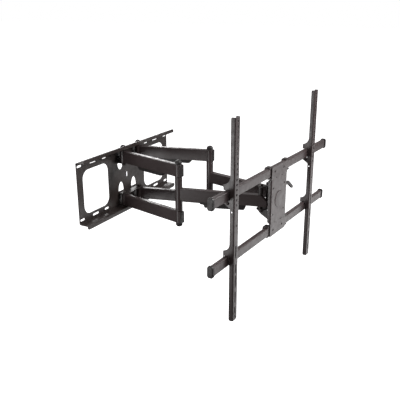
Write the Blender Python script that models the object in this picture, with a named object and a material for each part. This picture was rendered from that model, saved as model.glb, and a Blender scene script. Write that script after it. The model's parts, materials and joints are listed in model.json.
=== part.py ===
"""Full motion wall mount for a large television.

A folded wall plate carries two double arms. Each has a pair of rear arms, one over the other, an
elbow and one front arm. The front arms meet at a yoke, which holds the swivelling and tilting head
with its centre plate, two cross rails and two vertical television brackets.

Sizes are in millimetres. +X runs to the right along the wall, +Y goes into the wall and +Z is up.
The origin is the middle of the wall plate's back face.
"""

import math

import bmesh
import bpy
from mathutils import Matrix, Vector

MM = 0.001

# Wall plate
SHEET = 2.5
PLATE_WIDTH = 568.0
PLATE_HEIGHT = 220.0
SHELF_DEPTH = 37.0
LIP_HEIGHT = 12.0
WINDOW = (113.0, 254.0, -82.0, 74.0)
WINDOW_RADIUS = 30.0
SLOT_ROW = 95.0
SLOTS = ((132.0, 24.0), (195.0, 34.0), (268.0, 24.0))
ARCH_X = 40.0
ARCH_HALF = 16.5
ARCH_BASE = 53.5
ARCH_RISES = ((-1, 34.0), (1, 25.5))

# Arms
PIVOT_X = 47.0
PIVOT_Y = -24.0
ARM_LENGTH = 278.0
ARM_ANGLE = 13.6
ARM_WIDTH = 20.0
EYE_RADIUS = 12.5
REAR_ARM = (61.0, 103.0)
FRONT_ARM = 19.5
ARM_WALL = 2.5
NOSE = 26.0
NOSE_DROP = 25.0
NOSE_CORNER = 4.0
INNER_SHELF = 59.6
BOLT_RADIUS = 5.0
BOLT_HOLE = 5.5
ELBOW_PIN = 6.0
ELBOW_HOLE = 6.4
GAP = 0.3

# Head, measured from the kingpin's axis
YOKE_DROP = 16.0
HEAD_TURN = -3.3
YOKE_TOP = 50.0
YOKE_BOTTOM = -31.0
YOKE_SHEET = 3.0
HUB_RADIUS = 10.0
TILT_Y = -16.0
TILT_Z = -21.0
CLAMP_Z = 26.0
CHEEK_X = 20.4
CENTRE_LEFT = -56.0
CENTRE_RIGHT = 62.0
CENTRE_FRONT = -29.0
CENTRE_SIDE = -17.0
BOSS_RADIUS = 28.5

# Rails and television brackets, measured from the kingpin's axis
RAIL_Y = -18.0
RAIL_Z = 100.0
RAIL_HALF = 410.0
RAIL_TALL = 30.0
RAIL_DEEP = 15.0
RAIL_WALL = 1.8
CLAMPS = {"left": (-67.0, -46.0), "right": (60.0, 82.0)}
BRACKET_FRONT = -42.5
BRACKET_SHEET = 2.0
BRACKET_WIDTH = 28.0
BRACKET_BACK = -28.5
BRACKET_RETURN = 13.0
BRACKET_TOP = 323.0
BRACKET_BOTTOM = -106.0
EXTENSION_TOP = -40.0
EXTENSION_BOTTOM = -293.0
JOGGLE = 2.7
HOLE_LINE = 14.0
SCREW = (-21.0, 78.0)
BRACKETS = {"left": -328.0, "right": 240.0}

POWDER_COAT = ((0.030, 0.029, 0.029, 1.0), 0.48, 0.35)
DARK_COAT = ((0.022, 0.021, 0.021, 1.0), 0.52, 0.30)
PLASTIC = ((0.014, 0.014, 0.014, 1.0), 0.60, 0.0)
BOLT_STEEL = ((0.060, 0.058, 0.055, 1.0), 0.38, 0.85)


def clear_scene():
    for thing in list(bpy.data.objects):
        bpy.data.objects.remove(thing, do_unlink=True)


def material(name, look):
    made = bpy.data.materials.new(name)
    made.use_nodes = True
    shader = made.node_tree.nodes["Principled BSDF"]
    color, roughness, metallic = look
    shader.inputs["Base Color"].default_value = color
    shader.inputs["Roughness"].default_value = roughness
    shader.inputs["Metallic"].default_value = metallic
    made.diffuse_color = color
    return made


def empty(name, place, turn=0.0, parent=None):
    made = bpy.data.objects.new(name, None)
    made.empty_display_size = 0.03
    made.location = Vector(place) * MM
    made.rotation_euler = (0.0, 0.0, math.radians(turn))
    made.parent = parent
    bpy.context.collection.objects.link(made)
    return made


# Flat outlines


def circle(radius, centre=(0.0, 0.0), count=16):
    turns = [2 * math.pi * (i + 0.5) / count for i in range(count)]
    return [(centre[0] + radius * math.cos(t), centre[1] + radius * math.sin(t)) for t in turns]


def arc(centre, radius, start, end, count):
    turns = [math.radians(start + (end - start) * i / count) for i in range(count + 1)]
    return [(centre[0] + radius * math.cos(t), centre[1] + radius * math.sin(t)) for t in turns]


def box(low_x, high_x, low_y, high_y):
    return [(low_x, low_y), (high_x, low_y), (high_x, high_y), (low_x, high_y)]


def filleted(points, radius, count=4):
    """The outline with each corner turned into an arc of the radius, or of its own if given a list."""
    radii = radius if isinstance(radius, (list, tuple)) else [radius] * len(points)
    outline = []
    for i, corner in enumerate(points):
        here = Vector(corner)
        if not radii[i]:
            outline.append(tuple(here))
            continue
        back = (Vector(points[i - 1]) - here).normalized()
        ahead = (Vector(points[(i + 1) % len(points)]) - here).normalized()
        half = back.angle(ahead) / 2
        centre = here + (back + ahead).normalized() * radii[i] / math.sin(half)
        first = (here + back * radii[i] / math.tan(half) - centre).normalized()
        last = (here + ahead * radii[i] / math.tan(half) - centre).normalized()
        for step in range(count + 1):
            outline.append(tuple(centre + first.slerp(last, step / count) * radii[i]))
    return outline


def slot(centre, length, width, upright=False, count=4):
    """A slot with round ends, along the first axis or upright along the second."""
    half = (length - width) / 2
    right = arc((half, 0.0), width / 2, -90, 90, count)
    left = arc((-half, 0.0), width / 2, 90, 270, count)
    points = right + left
    if upright:
        points = [(-v, u) for u, v in points]
    return [(centre[0] + u, centre[1] + v) for u, v in points]


def span(side, near, far):
    """The two ends of a range in order, mirrored where the side is -1."""
    return sorted((side * near, side * far))


# Solids


def swap_axes(shape, axis):
    """Stands a shape drawn in the XY plane in the YZ plane (axis X) or the XZ plane (axis Y)."""
    if axis == "X":
        turn = Matrix(((0, 0, 1), (1, 0, 0), (0, 1, 0))).to_4x4()
        bmesh.ops.transform(shape, matrix=turn, verts=shape.verts)
    if axis == "Y":
        turn = Matrix(((1, 0, 0), (0, 0, 1), (0, 1, 0))).to_4x4()
        bmesh.ops.transform(shape, matrix=turn, verts=shape.verts)
    bmesh.ops.recalc_face_normals(shape, faces=shape.faces)


def prism(outline, low, high, axis="Z", holes=()):
    """A flat outline with holes, pushed from low to high along the axis.

    The outline lies in XY for axis Z, in YZ for axis X and in XZ for axis Y.
    """
    shape = bmesh.new()
    edges = []
    for loop in (outline, *holes):
        verts = [shape.verts.new((u, v, low)) for u, v in loop]
        edges += [shape.edges.new((verts[i - 1], verts[i])) for i in range(len(verts))]
    bmesh.ops.triangle_fill(shape, use_beauty=True, edges=edges, normal=(0.0, 0.0, 1.0))
    pushed = bmesh.ops.extrude_face_region(shape, geom=list(shape.faces))
    moved = [item for item in pushed["geom"] if isinstance(item, bmesh.types.BMVert)]
    bmesh.ops.translate(shape, verts=moved, vec=(0.0, 0.0, high - low))
    swap_axes(shape, axis)
    return shape


def turned(profile, axis="Z", place=(0.0, 0.0), count=16):
    """A turned piece from (radius, height) points that start and end on the axis."""
    shape = bmesh.new()
    rings = []
    for radius, height in profile:
        if radius == 0:
            rings.append([shape.verts.new((place[0], place[1], height))])
        else:
            rings.append([shape.verts.new((u, v, height)) for u, v in circle(radius, place, count)])
    for upper, lower in zip(rings, rings[1:]):
        for i in range(count):
            corners = [upper[i % len(upper)], upper[(i + 1) % len(upper)]]
            corners += [lower[(i + 1) % len(lower)], lower[i % len(lower)]]
            shape.faces.new(list(dict.fromkeys(corners)))
    swap_axes(shape, axis)
    return shape


def temporary(shape):
    mesh = bpy.data.meshes.new("temporary")
    shape.to_mesh(mesh)
    shape.free()
    made = bpy.data.objects.new("temporary", mesh)
    bpy.context.collection.objects.link(made)
    return made


def combine(base, other, operation):
    step = base.modifiers.new(operation, "BOOLEAN")
    step.operation = operation
    step.solver = "EXACT"
    step.object = other
    bpy.context.view_layer.update()
    graph = bpy.context.evaluated_depsgraph_get()
    result = bpy.data.meshes.new_from_object(base.evaluated_get(graph))
    base.modifiers.clear()
    base.data = result
    bpy.data.objects.remove(other, do_unlink=True)


def piece(name, shapes, look, parent=None, place=(0, 0, 0), turn=0.0, cuts=(), smooth=True):
    """One named object: the shapes joined, less the cuts, placed on its parent."""
    base = temporary(shapes[0])
    for shape in shapes[1:]:
        combine(base, temporary(shape), "UNION")
    for shape in cuts:
        combine(base, temporary(shape), "DIFFERENCE")
    base.name = name
    base.data.name = name
    base.data.transform(Matrix.Scale(MM, 4))
    base.data.materials.clear()
    base.data.materials.append(material(name, look))
    if smooth:
        base.data.shade_smooth()
        base.data.set_sharp_from_angle(angle=math.radians(35))
    base.location = Vector(place) * MM
    base.rotation_euler = (0.0, 0.0, math.radians(turn))
    base.parent = parent
    return base


# The wall


def wall_plate():
    half_width = PLATE_WIDTH / 2
    half = PLATE_HEIGHT / 2
    web = -SHEET
    lip = -SHELF_DEPTH + SHEET
    top = half + LIP_HEIGHT
    upper = [(0.0, half), (lip, half), (lip, top), (-SHELF_DEPTH, top)]
    upper += [(-SHELF_DEPTH, half - SHEET), (web, half - SHEET)]
    profile = upper + [(y, -z) for y, z in reversed(upper)]
    left, right, low, high = WINDOW
    openings = [slot((0.0, 0.5), 20.0, 8.0, upright=True)]
    turns = [math.pi * i / 10 for i in range(11)]
    for side in (-1, 1):
        window = filleted(box(left, right, low, high), WINDOW_RADIUS, 6)
        openings.append([(side * x, z) for x, z in window])
        for row in (-SLOT_ROW, SLOT_ROW):
            openings += [slot((side * x, row), length, 8.0) for x, length in SLOTS]
        for level, rise in ARCH_RISES:
            arch = [(ARCH_X + ARCH_HALF * math.cos(t), ARCH_BASE - rise * math.sin(t)) for t in turns]
            openings.append([(side * x, level * z) for x, z in arch])
    cuts = [prism(opening, web - 1, 1.0, "Y") for opening in openings]
    for side in (-1, 1):
        for level in (-1, 1):
            hole = circle(BOLT_HOLE, (side * PIVOT_X, PIVOT_Y))
            cuts.append(prism(hole, *span(level, half - 4, half + 2)))
            corner = arc((half_width - 9.0, top - 9.0), 9.0, 0, 90, 4) + [(half_width + 1, top + 1)]
            corner = [(side * x, level * z) for x, z in corner]
            cuts.append(prism(corner, -SHELF_DEPTH - 1, lip + 1, "Y"))
    piece("wall_plate", [prism(profile, -half_width, half_width, "X")], POWDER_COAT, cuts=cuts)


def hinge_shelf(name, level):
    """The folded bracket inside the plate that holds the other end of two wall pivots."""
    half = 60.0
    corners = [(-half, -2.8), (-half, -27.0), (-52.0, -37.0), (52.0, -37.0), (half, -27.0), (half, -2.8)]
    outline = filleted(corners, [0, 6, 6, 6, 6, 0])
    holes = [circle(BOLT_HOLE, (side * PIVOT_X, PIVOT_Y)) for side in (-1, 1)]
    shelf = prism(outline, *span(level, INNER_SHELF - SHEET, INNER_SHELF), holes=holes)
    back = prism(box(-half, half, -5.3, -2.8), *span(level, INNER_SHELF - 1.0, 80.0))
    piece(name, [shelf, back], DARK_COAT)


def wall_pivot(side_name, side, level_name, level):
    """The pivot bolt with its nut and two washers, and the plastic cap over its head."""
    top = PLATE_HEIGHT / 2 + GAP
    nut = INNER_SHELF - SHEET - GAP
    upper_washer = PLATE_HEIGHT / 2 - SHEET - GAP
    bolt = [(0, nut - 8), (8, nut - 8), (8, nut), (BOLT_RADIUS, nut)]
    bolt += [(BOLT_RADIUS, INNER_SHELF + GAP), (9, INNER_SHELF + GAP), (9, REAR_ARM[0] - GAP)]
    bolt += [(BOLT_RADIUS, REAR_ARM[0] - GAP), (BOLT_RADIUS, REAR_ARM[1] + GAP), (9, REAR_ARM[1] + GAP)]
    bolt += [(9, upper_washer), (BOLT_RADIUS, upper_washer)]
    bolt += [(BOLT_RADIUS, top), (8, top), (8, top + 5), (0, top + 5)]
    cap = [(0, top + 14.7), (7, top + 14.7), (10, top + 11), (10, top)]
    cap += [(8.5, top), (8.5, top + 7), (0, top + 7)]
    place = (side * PIVOT_X, PIVOT_Y, 0.0)
    for name, profile, look in (("bolt", bolt, BOLT_STEEL), ("cap", cap, PLASTIC)):
        points = [(radius, level * height) for radius, height in profile]
        full_name = f"wall_pivot_{name}_{level_name}_{side_name}"
        piece(full_name, [turned(points)], look, place=place)


# The arms, drawn along +X from the pivot at their origin


def channel_pocket(start, end, low, high):
    half = ARM_WIDTH / 2 - ARM_WALL
    return prism(box(start, end, low - 1.0, high - ARM_WALL), -half, half, "Y")


def rear_arm(name, low, high, parent, turn):
    half = ARM_WIDTH / 2
    end = ARM_LENGTH + EYE_RADIUS + 0.5
    beam = prism(box(0.0, end, -half, half), low, high)
    eyes = [prism(circle(EYE_RADIUS, (x, 0.0), 24), low, high) for x in (0.0, ARM_LENGTH)]
    cuts = [prism(circle(BOLT_HOLE), low - 1, high + 1)]
    cuts.append(prism(circle(ELBOW_HOLE, (ARM_LENGTH, 0.0)), low - 1, high + 1))
    cuts.append(channel_pocket(20.0, ARM_LENGTH - 20.0, low, high))
    piece(name, [beam, *eyes], POWDER_COAT, parent, turn=turn, cuts=cuts)
    cap = prism(filleted(box(-half, half, low + 0.5, high - 0.5), 3.0), end + GAP, end + 2.2, "X")
    piece(name.replace("_arm", "_end_cap"), [cap], PLASTIC, parent, turn=turn)


def elbow_pin(side_name, parent, place):
    """The long pin through both rear arms and the front arm's sleeve, with a domed cap on each end."""
    top = REAR_ARM[1] + GAP
    pin = [(0, top + 5), (8.5, top + 5), (8.5, top), (ELBOW_PIN, top)]
    pin += [(radius, -height) for radius, height in reversed(pin)]
    piece(f"{side_name}_elbow_pin", [turned(pin)], BOLT_STEEL, parent, place)
    cap = [(0, top + 14.7), (5, top + 14.2), (9.3, top + 11.5), (11.5, top + 7.5), (11.5, top), (9.3, top)]
    cap += [(9.3, top + 7), (0, top + 7)]
    for level_name, level in (("upper", 1), ("lower", -1)):
        points = [(radius, level * height) for radius, height in cap]
        piece(f"{side_name}_elbow_cap_{level_name}", [turned(points, count=20)], PLASTIC, parent, place)


def front_arm(side_name, parent, turn):
    """A sleeve on the elbow pin, the beam, and a nose that slopes down past the yoke's pivot."""
    half = ARM_WIDTH / 2
    tip = ARM_LENGTH + NOSE
    sleeve = prism(circle(EYE_RADIUS, count=24), -REAR_ARM[0] + 0.5, REAR_ARM[0] - 0.5)
    side = [(0.0, -FRONT_ARM), (0.0, FRONT_ARM), (tip - NOSE_DROP, FRONT_ARM)]
    side += [(tip, FRONT_ARM - NOSE_DROP), (tip, -FRONT_ARM)]
    beam = prism(side, -half, half, "Y")
    cuts = [prism(circle(ELBOW_HOLE), -REAR_ARM[0], REAR_ARM[0])]
    cuts.append(prism(circle(BOLT_HOLE, (ARM_LENGTH, 0.0)), -FRONT_ARM - 1, FRONT_ARM + 1))
    cuts.append(channel_pocket(20.0, ARM_LENGTH - 16.0, -FRONT_ARM, FRONT_ARM))
    outside = NOSE_CORNER + 1.0
    for aside in (-1, 1):
        corner = [(tip + 1.0, aside * (half - outside)), (tip + 1.0, aside * (half + 1.0))]
        corner.append((tip - outside, aside * (half + 1.0)))
        cuts.append(prism(corner, -FRONT_ARM - 1, FRONT_ARM + 1))
    piece(f"{side_name}_front_arm", [sleeve, beam], POWDER_COAT, parent, turn=turn, cuts=cuts)
    top = -FRONT_ARM - GAP
    outline = [(70.0, top), (77.0, -29.0), (88.0, -30.0), (92.0, -40.0), (226.0, -36.5), (232.0, top)]
    trough = prism(filleted(outline, [0, 2, 2, 3, 5, 0]), -9.0, 9.0, "Y")
    hollow = prism(box(95.0, 221.0, -34.0, top + 1.0), -7.0, 7.0, "Y")
    piece(f"{side_name}_front_cable_clip", [trough], PLASTIC, parent, turn=turn, cuts=[hollow])


def rear_cable_clip(side_name, parent, turn):
    top = REAR_ARM[0] - GAP
    outline = [(82.0, top), (92.0, 51.0), (100.0, 49.0), (196.0, 48.5), (203.0, 50.0), (212.0, top)]
    trough = prism(filleted(outline, [0, 2, 2, 2, 2, 0]), -9.0, 9.0, "Y")
    hollow = prism(box(98.0, 201.0, 51.5, top + 1.0), -7.0, 7.0, "Y")
    piece(f"{side_name}_rear_cable_clip", [trough], PLASTIC, parent, turn=turn, cuts=[hollow])


def double_arm(side_name, side):
    """Both rear arms turn on one wall pivot axis and the front arm turns on the elbow axis."""
    spread = math.radians(ARM_ANGLE)
    along = Vector((side * math.sin(spread), -math.cos(spread), 0.0))
    back_in = Vector((-along.x, along.y, 0.0))
    pivot = Vector((side * PIVOT_X, PIVOT_Y, 0.0))
    rear_turn = math.degrees(math.atan2(along.y, along.x))
    front_turn = math.degrees(math.atan2(back_in.y, back_in.x))
    rear_axis = empty(f"{side_name}_wall_pivot_axis", pivot)
    elbow_axis = empty(f"{side_name}_elbow_axis", along * ARM_LENGTH, parent=rear_axis)
    low, high = REAR_ARM
    rear_arm(f"{side_name}_rear_arm_upper", low, high, rear_axis, rear_turn)
    rear_arm(f"{side_name}_rear_arm_lower", -high, -low, rear_axis, rear_turn)
    elbow_pin(side_name, rear_axis, along * ARM_LENGTH)
    front_arm(side_name, elbow_axis, front_turn)
    rear_cable_clip(side_name, rear_axis, rear_turn)


# The head


def yoke_outline():
    half = PIVOT_X + 11.0
    points = [(-34.0, -12.0), (34.0, -12.0), (half, 6.0), (half, 24.0), (46.0, 30.0), (-46.0, 30.0)]
    points += [(-half, 24.0), (-half, 6.0)]
    return filleted(points, 4.0, 3)


def yoke_top_outline():
    """The upper shelf: an ear over each pivot and a tongue behind the kingpin, with a bay between them."""
    half = PIVOT_X + 10.0
    right = [(34.0, -12.0), (half, 6.0), (half, 21.0), (52.0, 26.0), (42.0, 26.0), (37.0, 21.0)]
    right += [(37.0, 7.0), (31.0, 1.0), (13.0, 1.0), (10.0, 4.0), (10.0, 14.0)]
    left = [(-x, y) for x, y in reversed(right)]
    return filleted(right + left, 1.8, 2)


def yoke(parent):
    """Two shelves joined by a web behind the kingpin, with a deep skirt under each end of the lower one."""
    holes = [circle(BOLT_HOLE, (side * PIVOT_X, YOKE_DROP)) for side in (-1, 1)]
    holes.append(circle(6.5))
    top = prism(yoke_top_outline(), YOKE_TOP - YOKE_SHEET, YOKE_TOP, holes=holes)
    bottom = prism(yoke_outline(), YOKE_BOTTOM, YOKE_BOTTOM + YOKE_SHEET, holes=holes)
    web = prism(box(-9.0, 9.0, HUB_RADIUS + 0.6, 13.6), YOKE_BOTTOM + 0.5, YOKE_TOP - 0.5)
    skirt = [(-3.0, YOKE_BOTTOM + 1.0), (25.0, YOKE_BOTTOM + 1.0), (25.0, -42.0), (14.0, -51.0)]
    skirt += [(-8.0, -64.0), (-12.0, -64.0), (-12.0, -42.0)]
    skirt = filleted(skirt, [0, 0, 6, 4, 3, 1, 4], 3)
    skirts = [prism(skirt, *span(side, 38.0, 41.0), "X") for side in (-1, 1)]
    nut_places = [(side * PIVOT_X, YOKE_DROP) for side in (-1, 1)]
    cuts = [prism(circle(9.0, place), YOKE_BOTTOM - 12, YOKE_BOTTOM) for place in nut_places]
    piece("yoke", [top, web, bottom, *skirts], DARK_COAT, parent, cuts=cuts)


def yoke_pivot(side_name, side, parent):
    """A yoke pivot bolt with its nut and washer, and the sleeve in the space above the arm."""
    place = (side * PIVOT_X, YOKE_DROP, 0.0)
    head = YOKE_TOP + GAP
    nut = YOKE_BOTTOM - GAP
    washer = YOKE_BOTTOM + YOKE_SHEET + GAP
    arm = -FRONT_ARM - GAP
    bolt = [(0, nut - 6), (7.5, nut - 6), (7.5, nut), (BOLT_RADIUS, nut)]
    bolt += [(BOLT_RADIUS, washer), (8, washer), (8, arm), (BOLT_RADIUS, arm)]
    bolt += [(BOLT_RADIUS, head), (8, head), (8, head + 5), (0, head + 5)]
    piece(f"yoke_pivot_bolt_{side_name}", [turned(bolt)], BOLT_STEEL, parent, place)
    sleeve_top = YOKE_TOP - YOKE_SHEET - GAP
    sleeve = prism(circle(7.5), FRONT_ARM + GAP, sleeve_top, holes=[circle(BOLT_HOLE)])
    piece(f"yoke_pivot_sleeve_{side_name}", [sleeve], DARK_COAT, parent, place)


def kingpin(parent):
    head = YOKE_TOP + GAP
    nut = YOKE_BOTTOM - GAP
    pin = [(0, nut - 7), (9, nut - 7), (9, nut), (6, nut)]
    pin += [(6, head), (10, head), (10, head + 6), (0, head + 6)]
    piece("kingpin", [turned(pin)], BOLT_STEEL, parent)


def swivel_bracket(parent):
    """The hub on the kingpin and the block in front of it, which holds the tilt and clamp bolts."""
    low = YOKE_BOTTOM + YOKE_SHEET + GAP
    high = YOKE_TOP - YOKE_SHEET - GAP
    hub = prism(circle(HUB_RADIUS, count=24), low, high)
    block = prism(box(-22.5, -8.0, low + 0.2, 38.0), -CHEEK_X + 0.4, CHEEK_X - 0.4, "X")
    cuts = [prism(circle(6.5), low - 1, high + 1)]
    for height in (TILT_Z, CLAMP_Z):
        cuts.append(prism(circle(4.4, (TILT_Y, height)), -30.0, 30.0, "X"))
    piece("swivel_bracket", [hub, block], DARK_COAT, parent, cuts=cuts)


def cross_bolt(name, height, low, high, parent):
    """A bolt along X with a round head at each end of its grip."""
    bolt = [(0, low - 3), (4.8, low - 3), (4.8, low), (4, low)]
    bolt += [(4, high), (4.8, high), (4.8, high + 3), (0, high + 3)]
    piece(name, [turned(bolt, "X", (TILT_Y, height))], BOLT_STEEL, parent)


def clamp_lever(parent):
    """The lock lever on the clamp bolt: a round hub with a bent handle."""
    profile = [(0, 59.0), (6.5, 59.0), (6.5, 62.8), (8, 62.8), (8, 72.0), (6, 74.0), (0, 74.0)]
    hub = turned(profile, "X", (0.0, 0.0))
    handle = [(62.0, -4.0), (96.0, -3.0), (134.0, -28.0), (140.0, -28.0)]
    handle += [(142.0, -22.0), (138.0, -18.0), (104.0, 7.0), (62.0, 5.0)]
    bar = prism(filleted(handle, [0, 8, 2, 2, 2, 2, 8, 0], 3), -3.5, 3.5, "Y")
    lever_axis = empty("clamp_lever_axis", (0.0, TILT_Y, CLAMP_Z), parent=parent)
    piece("clamp_lever", [hub, bar], PLASTIC, lever_axis)


def hang(name, shapes, look, parent, cuts=(), place=(0.0, 0.0, 0.0)):
    """A piece drawn from the kingpin's axis and carried by the tilt axis."""
    offset = Vector(place) - Vector((0.0, TILT_Y, TILT_Z))
    piece(name, shapes, look, parent, offset, cuts=cuts)


def centre_plate(parent):
    """The front plate with folded sides and a round boss pressed out of its middle."""
    back = CENTRE_FRONT + SHEET
    face = filleted(box(CENTRE_LEFT, CENTRE_RIGHT, -119.0, 117.0), 4.0, 3)
    holes = []
    for side in (-1, 1):
        holes += [circle(3.8, (side * 34.0, z), 10) for z in (-100.0, 100.0)]
        holes += [circle(3.4, (side * 42.0, z), 10) for z in (-45.0, 45.0)]
        holes += [circle(2.2, (side * 20.0, z), 8) for z in (-77.0, 77.0)]
    shapes = [prism(face, CENTRE_FRONT, back, "Y", holes)]
    shapes.append(prism(circle(BOSS_RADIUS, count=32), CENTRE_FRONT - 1.5, back - 1.0, "Y"))
    side_outline = [(CENTRE_FRONT + 1, -74.0), (CENTRE_SIDE, -68.0)]
    side_outline += [(CENTRE_SIDE, 68.0), (CENTRE_FRONT + 1, 74.0)]
    for low, high in ((CENTRE_LEFT, CENTRE_LEFT + SHEET), (CENTRE_RIGHT - SHEET, CENTRE_RIGHT)):
        shapes.append(prism(side_outline, low, high, "X"))
    notch = box(CENTRE_FRONT + 3.0, CENTRE_SIDE + 2.0, CLAMP_Z - 12.0, CLAMP_Z + 12.0)
    notch = prism(filleted(notch, 1.5, 2), CENTRE_RIGHT - 7.0, CENTRE_RIGHT + 3.0, "X")
    hang("centre_plate", shapes, POWDER_COAT, parent, cuts=[notch])


def tilt_cheek(side_name, side, parent):
    """A folded cheek behind the centre plate, with the tilt hole and the curved slot of the clamp bolt."""
    back = CENTRE_FRONT + SHEET + GAP
    bottom = YOKE_BOTTOM + YOKE_SHEET + 0.8
    outline = [(back, bottom), (-9.8, bottom), (-9.8, -16.0), (-14.5, -12.0)]
    outline += [(-14.5, 12.0), (4.0, 18.0), (4.0, 41.0), (back, 41.0)]
    outline = filleted(outline, [0, 5, 2, 2, 3, 4, 4, 0], 3)
    reach = CLAMP_Z - TILT_Z
    start, end = 72.5, 98.5
    groove = arc((TILT_Y, TILT_Z), reach + 4.6, start, end, 5)
    groove += arc((TILT_Y, TILT_Z), reach - 4.6, end, start, 5)
    holes = [circle(4.4, (TILT_Y, TILT_Z)), groove]
    cheek = prism(outline, *span(side, CHEEK_X, CHEEK_X + SHEET), "X", holes)
    foot = prism(box(*span(side, CHEEK_X + 1.0, 38.0), back, back + SHEET), bottom, 41.0)
    hang(f"tilt_cheek_{side_name}", [cheek, foot], DARK_COAT, parent)


def rail(level_name, level, parent):
    """A rectangular tube with a flared plastic cap on each end."""
    half_deep = RAIL_DEEP / 2
    half_tall = RAIL_TALL / 2
    outer = filleted(box(-half_deep, half_deep, -half_tall, half_tall), 3.5, 3)
    wide, tall = half_deep - RAIL_WALL, half_tall - RAIL_WALL
    inner = filleted(box(-wide, wide, -tall, tall), 1.7, 2)
    place = (0.0, RAIL_Y, level * RAIL_Z)
    tube = prism(outer, -RAIL_HALF, RAIL_HALF, "X", [inner])
    hang(f"rail_{level_name}", [tube], POWDER_COAT, parent, place=place)
    flare = [(-10.0, -13.0), (-6.0, -18.0), (6.0, -18.0), (10.0, -13.0)]
    flare += [(10.0, 13.0), (6.0, 18.0), (-6.0, 18.0), (-10.0, 13.0)]
    wide, tall = wide - 0.4, tall - 0.4
    plug = filleted(box(-wide, wide, -tall, tall), 1.5, 2)
    for side_name, side in (("left", -1), ("right", 1)):
        cap = prism(filleted(flare, 1.5, 1), *span(side, RAIL_HALF + GAP, RAIL_HALF + 9.5), "X")
        inside = prism(plug, *span(side, RAIL_HALF - 14.0, RAIL_HALF + 4.0), "X")
        hang(f"rail_cap_{level_name}_{side_name}", [cap, inside], PLASTIC, parent, place=place)


def rail_clamp(level_name, level, side_name, parent):
    """The saddle that wraps a rail from behind and is bolted to the centre plate."""
    front = CENTRE_FRONT + SHEET + GAP
    pocket = RAIL_Y + RAIL_DEEP / 2 + GAP
    half = RAIL_TALL / 2 + GAP
    outline = [(front, 17.5), (front, half), (pocket, half), (pocket, -half)]
    outline += [(front, -half), (front, -20.0), (-8.0, -20.0), (-6.0, -14.0)]
    outline += [(-6.0, 14.0), (-8.0, 19.0), (-21.0, 19.0)]
    outline = filleted(outline, [1, 0, 0, 0, 0, 0, 2, 3, 3, 2, 3], 3)
    outline = [(y, level * (RAIL_Z + z)) for y, z in outline]
    saddle = prism(outline, *CLAMPS[side_name], "X")
    hang(f"rail_clamp_{level_name}_{side_name}", [saddle], DARK_COAT, parent)


# The television brackets, drawn from the kingpin's height with x = 0 at the bracket's outer corner


def bracket_side():
    """The side flange from the front edge back, with a hook over the upper rail and a seat on the lower."""
    rail_front = RAIL_Y - RAIL_DEEP / 2 - 0.7
    tail = RAIL_Y + RAIL_DEEP / 2 + 0.7
    low_top = -RAIL_Z + RAIL_TALL / 2 + 0.5
    high_low = RAIL_Z - RAIL_TALL / 2 - 0.5
    high_top = RAIL_Z + RAIL_TALL / 2 + 0.5
    points = [(BRACKET_FRONT, BRACKET_BOTTOM), (BRACKET_BACK, BRACKET_BOTTOM), (BRACKET_BACK, low_top)]
    points += [(tail, low_top), (tail, -94.0), (-7.5, -94.0), (-7.5, -74.0)]
    points += arc((-5.0, -45.0), 23.5, -98, -180, 6)
    points += [(BRACKET_BACK, 61.0), (-27.0, 64.0), (-8.5, 76.0), (-8.5, high_low), (rail_front, high_low)]
    points += [(rail_front, high_top), (-7.0, high_top), (-7.0, 131.0)]
    points += arc((-3.0, 157.0), 25.5, -100, -175, 6)
    points += [(BRACKET_BACK, 161.0), (BRACKET_BACK, BRACKET_TOP), (BRACKET_FRONT, BRACKET_TOP)]
    return points


def upright_slots(centres):
    return [slot((HOLE_LINE, z), length, 5.6, upright=True, count=3) for z, length in centres]


def channel_front(inset, low, high, holes):
    """The front flange of a channel with its holes, and the flange along its far edge."""
    near = BRACKET_FRONT + inset
    far = BRACKET_WIDTH - inset
    face = prism(box(inset + 0.8, far, low, high), near, near + BRACKET_SHEET, "Y", holes)
    lip = prism(box(far - BRACKET_SHEET, far, near + 0.8, BRACKET_FRONT + BRACKET_RETURN), low, high)
    return [face, lip]


def extension():
    """A channel as wide as the main one, with a narrower tongue that goes up inside it."""
    inset = BRACKET_SHEET + GAP
    near = BRACKET_FRONT + inset
    shoulder = BRACKET_BOTTOM - GAP
    root = shoulder - JOGGLE
    outline = box(BRACKET_FRONT, BRACKET_BACK, EXTENSION_BOTTOM, shoulder)
    web = prism(filleted(outline, [0, 5, 0, 0], 3), 0.0, BRACKET_SHEET, "X")
    outline = box(near, BRACKET_BACK, root, EXTENSION_TOP)
    tongue = prism(filleted(outline, [0, 0, 3, 0], 3), inset, inset + BRACKET_SHEET, "X")
    slots = upright_slots(((-124.5, 29.0), (-166.0, 40.0), (-217.0, 37.0), (-260.0, 23.0)))
    slots.append(circle(2.6, (HOLE_LINE, -280.0), 8))
    low = channel_front(0.0, EXTENSION_BOTTOM, shoulder, slots)
    high = channel_front(inset, root, EXTENSION_TOP, upright_slots(((-71.0, 40.0),)))
    edge = BRACKET_FRONT + BRACKET_RETURN
    far = BRACKET_WIDTH
    bands = [box(1.0, inset + 1.0, BRACKET_FRONT + 1.0, BRACKET_BACK)]
    bands.append(box(1.0, far - 1.0, BRACKET_FRONT + 1.0, near + 1.0))
    bands.append(box(far - inset - 1.0, far - 1.0, BRACKET_FRONT + 1.0, edge))
    steps = [prism(band, root, shoulder) for band in bands]
    return [web, tongue, *low, *high, *steps]


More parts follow.
